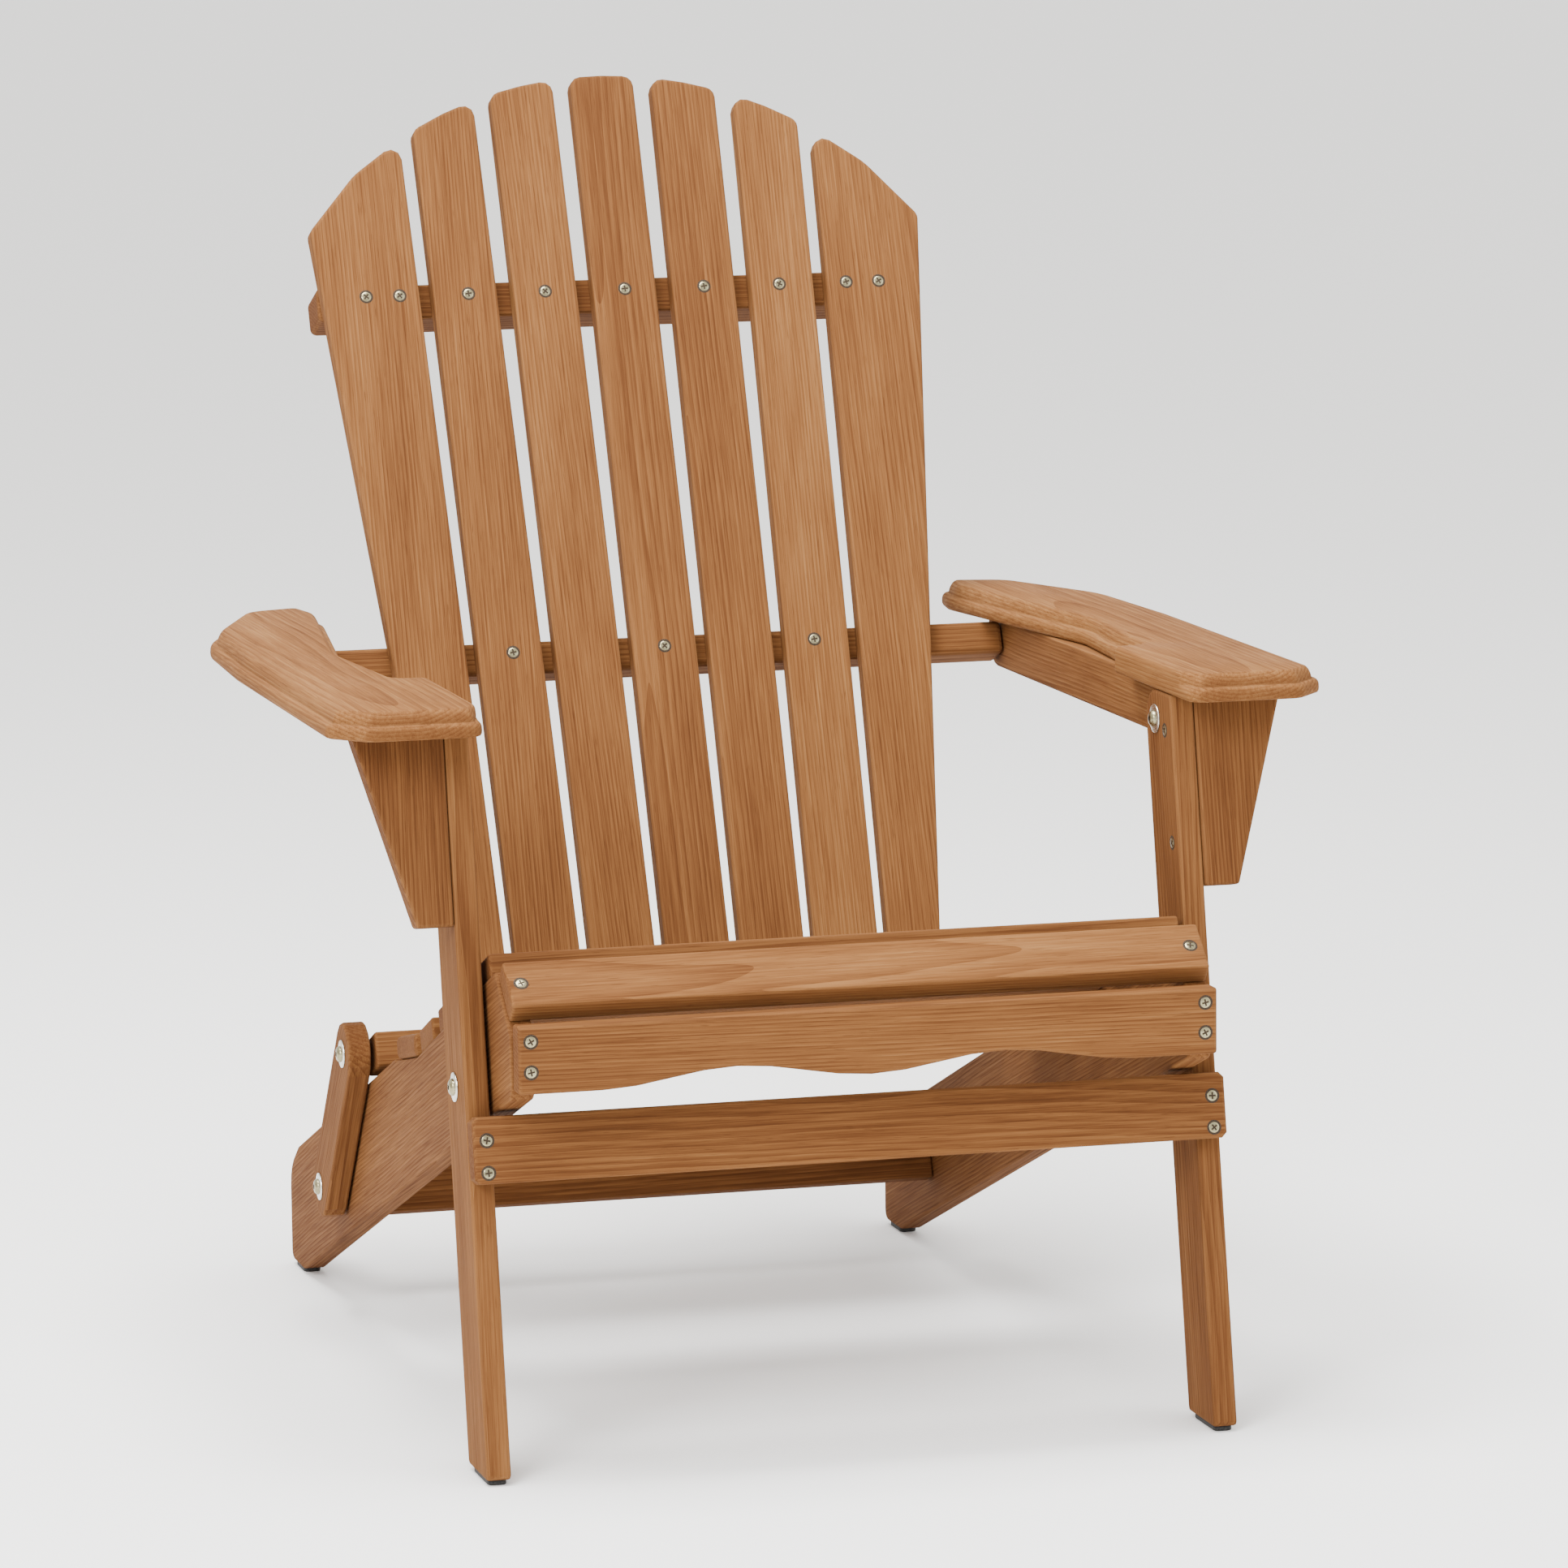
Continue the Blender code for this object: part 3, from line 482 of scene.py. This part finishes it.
def ring(shape, radius, height, steps):
    turns = [2 * pi * i / steps for i in range(steps)]
    return [shape.verts.new((radius * cos(a), radius * sin(a), height)) for a in turns]


def lathe(shape, profile, steps):
    """Turns (radius, height) points round z, from the axis out and back to it."""
    rings = []
    for radius, height in profile:
        if radius == 0:
            rings.append([shape.verts.new((0, 0, height))] * steps)
        else:
            rings.append(ring(shape, radius, height, steps))
    for upper, lower in zip(rings, rings[1:]):
        for i in range(steps):
            j = (i + 1) % steps
            corners = []
            for vert in (upper[i], lower[i], lower[j], upper[j]):
                if vert not in corners:
                    corners.append(vert)
            shape.faces.new(corners)


def cut_with(mesh, cutter_shape, name):
    """The mesh less the cutter, with the cut's walls in the dark recess finish, which is painted
    shade with some dirt.
    """
    body = bpy.data.objects.new(name, mesh)
    cutter = bpy.data.objects.new(name + "_cutter", mesh_from(cutter_shape, name, [RECESS_SHADE_AND_DIRT]))
    for obj in (body, cutter):
        bpy.context.scene.collection.objects.link(obj)
    cut = body.modifiers.new("recess", "BOOLEAN")
    cut.object = cutter
    cut.solver = "EXACT"
    cut.material_mode = "TRANSFER"
    graph = bpy.context.evaluated_depsgraph_get()
    result = bpy.data.meshes.new_from_object(body.evaluated_get(graph))
    for obj in (body, cutter):
        bpy.data.objects.remove(obj)
    result.name = name
    result.shade_smooth()
    result.set_sharp_from_angle(angle=radians(35))
    return result


SCREW_R = 0.0040
SCREW_PROUD = 0.0004
SCREW_SUNK = 0.0022
SCREW_STEPS = 28
CROSS_HALF_WIDTH = 0.00062
CROSS_REACH = 0.0027
CROSS_FLOOR = 0.00006
RIM_PROFILE = ((SCREW_R, 0.00005), (SCREW_R * 1.15, 0.00018), (SCREW_R * 1.42, 0.0))


def screw_mesh():
    """The head of a countersunk cross-head screw."""
    shape = bmesh.new()
    lathe(shape, [
        (0, SCREW_PROUD), (SCREW_R * 0.55, SCREW_PROUD), (SCREW_R * 0.93, SCREW_PROUD * 0.7),
        (SCREW_R, 0.0001), (SCREW_R * 0.45, -SCREW_SUNK), (0, -SCREW_SUNK),
    ], SCREW_STEPS)
    head = mesh_from(shape, "screw_head", [YELLOW_ZINC])
    half, reach = CROSS_HALF_WIDTH, CROSS_REACH
    outline = [
        (half, half), (half, reach), (-half, reach), (-half, half), (-reach, half),
        (-reach, -half), (-half, -half), (-half, -reach), (half, -reach), (half, -half),
        (reach, -half), (reach, half),
    ]
    cross = bmesh.new()
    floor = cross.faces.new([cross.verts.new((x, y, CROSS_FLOOR)) for x, y in outline])
    grown = bmesh.ops.extrude_face_region(cross, geom=[floor])["geom"]
    raised = [part for part in grown if isinstance(part, bmesh.types.BMVert)]
    bmesh.ops.translate(cross, verts=raised, vec=(0, 0, 0.0025))
    return cut_with(head, cross, "screw")


def rim_mesh():
    """A dark ring round a screw's hole: painted shade of the gap round the head, with dirt and
    stain.
    """
    shape = bmesh.new()
    loops = [ring(shape, radius, height, SCREW_STEPS) for radius, height in RIM_PROFILE]
    for inner, outer in zip(loops, loops[1:] + loops[:1]):
        for i in range(SCREW_STEPS):
            j = (i + 1) % SCREW_STEPS
            shape.faces.new((inner[i], outer[i], outer[j], inner[j]))
    return mesh_from(shape, "screw_rim", [RECESS_SHADE_AND_DIRT])


SCREW_MESHES = {"": screw_mesh(), "_rim": rim_mesh()}


def add_screw(name, body, matrix, turn):
    spin = Matrix.Rotation(turn, 4, "Z")
    for kind, mesh in SCREW_MESHES.items():
        piece = add_piece(name + kind, mesh, body)
        piece.matrix_world = matrix @ spin


# Lower front edges of the boards that are screwed from the front
LEG_FRONT = at(0, -0.003, 0.0043)
NOSE_FRONT = at(0, -0.0092, 0.3602)
SLAT_FRONT = at(0, 0.0679, 0.3868)
BAR_FRONT = at(0, 0.32103, 0.28350)
STRETCHER_FACE = BOARD + 0.0003      # in front of the legs

# Places of screws: across and up a board's face, or depth and height on the sides
BACK_FACE_INSET = 0.0428      # from the back's pivot to the front of its slats
BATTEN_X = (0.2169, 0.189, 0.1316, 0.0672)
BATTEN_UP, MID_RAIL_UP, LOWER_RAIL_UP = 0.6184, 0.3134, -0.0030
MID_RAIL_X = 0.1262
LOWER_RAIL_PITCH = 0.0614
STRETCHER_X, STRETCHER_UP = 0.281, (0.2273, 0.2513)
APRON_X, APRON_Z = 0.2586, (0.3132, 0.3359)
NOSE_X, NOSE_UP = 0.2576, 0.0213
SEAT_X, SEAT_UP, SEAT_PITCH = 0.2606, 0.024, 0.072
BAR_UP = 0.0355
BRACKET_SCREWS = ((0.1138, 0.522), (0.096, 0.438))
STRINGER_SCREWS = ((0.6859, 0.0809), (0.6945, 0.1044))


def back_screws():
    spots = [(side * x, BATTEN_UP) for side in (1, -1) for x in BATTEN_X]
    spots += [(0, BATTEN_UP)]
    spots += [(x, MID_RAIL_UP) for x in (0, MID_RAIL_X, -MID_RAIL_X)]
    spots += [(i * LOWER_RAIL_PITCH, LOWER_RAIL_UP) for i in (-3, -2, -1, 0, 1, 2, 3)]
    return spots


def front_runs():
    """Screws seen from the front: each run is a board, its body, its face, and the places."""
    behind = Vector((0, cos(BACK_LEAN), -sin(BACK_LEAN)))
    back_face = facing(JOINTS["back_fold"] - behind * BACK_FACE_INSET, X, BACK_UP)
    leg_face = facing(LEG_FRONT, X, LEG_UP) @ Matrix.Translation((0, 0, STRETCHER_FACE))
    apron_face = facing(Vector((0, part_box("apron")[0][1], 0)), X, Z)
    nose_face = facing(NOSE_FRONT, X, NOSE_BACK)
    bar_face = facing(BAR_FRONT, X, BAR_BACK)
    runs = [
        ("back", "back", back_face, back_screws()),
        ("stretcher", "front_legs", leg_face,
         [(side * STRETCHER_X, up) for side in (1, -1) for up in STRETCHER_UP]),
        ("apron", "seat_frame", apron_face,
         [(side * APRON_X, z) for side in (1, -1) for z in APRON_Z]),
        ("nose", "seat_frame", nose_face, [(NOSE_X, NOSE_UP), (-NOSE_X, NOSE_UP)]),
        ("bar", "seat_frame", bar_face, [(SEAT_X, BAR_UP), (-SEAT_X, BAR_UP)]),
    ]
    for i in range(4):
        face = facing(SLAT_FRONT + SEAT_BACK * SEAT_PITCH * i, X, SEAT_BACK)
        runs.append((f"seat_{i + 2}", "seat_frame", face, [(SEAT_X, SEAT_UP), (-SEAT_X, SEAT_UP)]))
    return runs


def side_runs(side_name, side):
    """Screws in the inner face of a leg's bracket and in the outer face of a stringer."""
    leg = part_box("front_leg_" + side_name)
    inner = min(leg[0][0], leg[1][0], key=abs)
    inside = facing(Vector((inner, 0, 0)), Y * -side, Z)
    bracket_spots = [(-side * (y - DEPTH_CENTRE), z) for y, z in BRACKET_SCREWS]
    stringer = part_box("stringer_" + side_name)
    outer = max(stringer[0][0], stringer[1][0], key=abs)
    outside = facing(Vector((outer, 0, 0)), Y * side, Z)
    stringer_spots = [(side * (y - DEPTH_CENTRE), z) for y, z in STRINGER_SCREWS]
    return [
        ("bracket_" + side_name, "front_legs", inside, bracket_spots),
        ("stringer_" + side_name, "seat_frame", outside, stringer_spots),
    ]


def place_screws():
    chance = Random(7)
    runs = front_runs()
    for side_name, side in SIDES:
        runs += side_runs(side_name, side)
    for board, body, face, spots in runs:
        for i, (x, y) in enumerate(spots):
            place = face @ Matrix.Translation((x, y, 0))
            add_screw(f"screw_{board}_{i}", body, place, chance.uniform(0, pi / 2))


place_screws()


BOLT_RISE = 0.0051            # from the board to the top of the dome
DOME_R, DOME_BASE = 0.0067, 0.0015


def bolt_mesh(length):
    """A domed bolt with a hex socket and a washer, its shank going down z."""
    shape = bmesh.new()
    lathe(shape, [
        (0, BOLT_RISE), (0.0026, 0.0050), (0.0045, 0.0045), (0.0058, 0.0036), (0.0064, 0.0024),
        (0.0065, 0.0016), (0.0070, 0.00145), (0.0102, 0.0014), (0.0110, 0.0011),
        (0.0112, 0.0006), (0.0109, 0.0003), (0.0035, 0.0003), (0.0035, -length + 0.0006),
        (0.0030, -length), (0, -length),
    ], 40)
    bolt = mesh_from(shape, "bolt", [ZINC])
    socket = bmesh.new()
    bmesh.ops.create_cone(
        socket, cap_ends=True, segments=6, radius1=0.0022, radius2=0.0024, depth=0.005,
        matrix=Matrix.Translation((0, 0, 0.0050)),
    )
    bolt = cut_with(bolt, socket, "bolt")
    bolt.materials.append(YELLOW_ZINC)
    for face in bolt.polygons:
        on_dome = face.center.xy.length < DOME_R and face.center.z > DOME_BASE
        if face.material_index == 0 and on_dome:
            face.material_index = len(bolt.materials) - 1
    return bolt


def place_bolts():
    for name in sorted(NODES):
        if "bolt" not in name:
            continue
        low, high = (Vector(corner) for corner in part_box(name))
        side = 1 if low.x > 0 else -1
        outward = -side if name.startswith("arm_bolt") else side
        middle = (low + high) / 2
        length = high.x - low.x - BOLT_RISE
        tip = high.x if outward > 0 else low.x
        face = facing(Vector((tip - outward * BOLT_RISE, middle.y, middle.z)), Y * outward, Z)
        piece = add_piece(
            name + "_turned", bolt_mesh(length), NODES[name]["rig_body"], (name,)
        )
        piece.matrix_world = face


place_bolts()


# Floor, light and camera

def make_floor():
    shape = bmesh.new()
    bmesh.ops.create_grid(shape, x_segments=1, y_segments=1, size=60)
    material, _, shader = blank_material("floor")
    shader.inputs["Base Color"].default_value = (0.95, 0.948, 0.94, 1)
    shader.inputs["Roughness"].default_value = 0.85
    floor = bpy.data.objects.new("floor", mesh_from(shape, "floor", [material]))
    bpy.context.scene.collection.objects.link(floor)


def make_light(name, place, target, size, power):
    lamp = bpy.data.lights.new(name, "AREA")
    lamp.shape = "DISK"
    lamp.size = size
    lamp.energy = power
    light = bpy.data.objects.new(name, lamp)
    light.location = place
    light.rotation_euler = (Vector(target) - Vector(place)).to_track_quat("-Z", "Y").to_euler()
    bpy.context.scene.collection.objects.link(light)


def make_camera():
    camera = bpy.data.objects.new("camera", bpy.data.cameras.new("camera"))
    right = Vector((0.9645, -0.2637, -0.0104))
    up = Vector((0.0494, 0.1417, 0.9887))
    camera.matrix_world = facing(at(-1.454, -5.1344, 1.2926), right.normalized(), up.normalized())
    camera.data.lens = 168
    camera.data.shift_y = 0.022
    camera.data.clip_end = 200
    bpy.context.scene.collection.objects.link(camera)
    bpy.context.scene.camera = camera


make_floor()
make_light("key", (-2.8, -3.2, 2.9), (0, 0, 0.5), 2.0, 190)
make_light("fill", (3.4, -2.6, 2.0), (0, 0, 0.5), 3.0, 40)
make_light("top", (-0.6, -0.3, 3.8), (0, 0, 0.5), 2.4, 300)
world = bpy.data.worlds.new("studio")
world.use_nodes = True
world.node_tree.nodes["Background"].inputs["Color"].default_value = (1.0, 0.99, 0.97, 1)
world.node_tree.nodes["Background"].inputs["Strength"].default_value = 1.75
bpy.context.scene.world = world
make_camera()
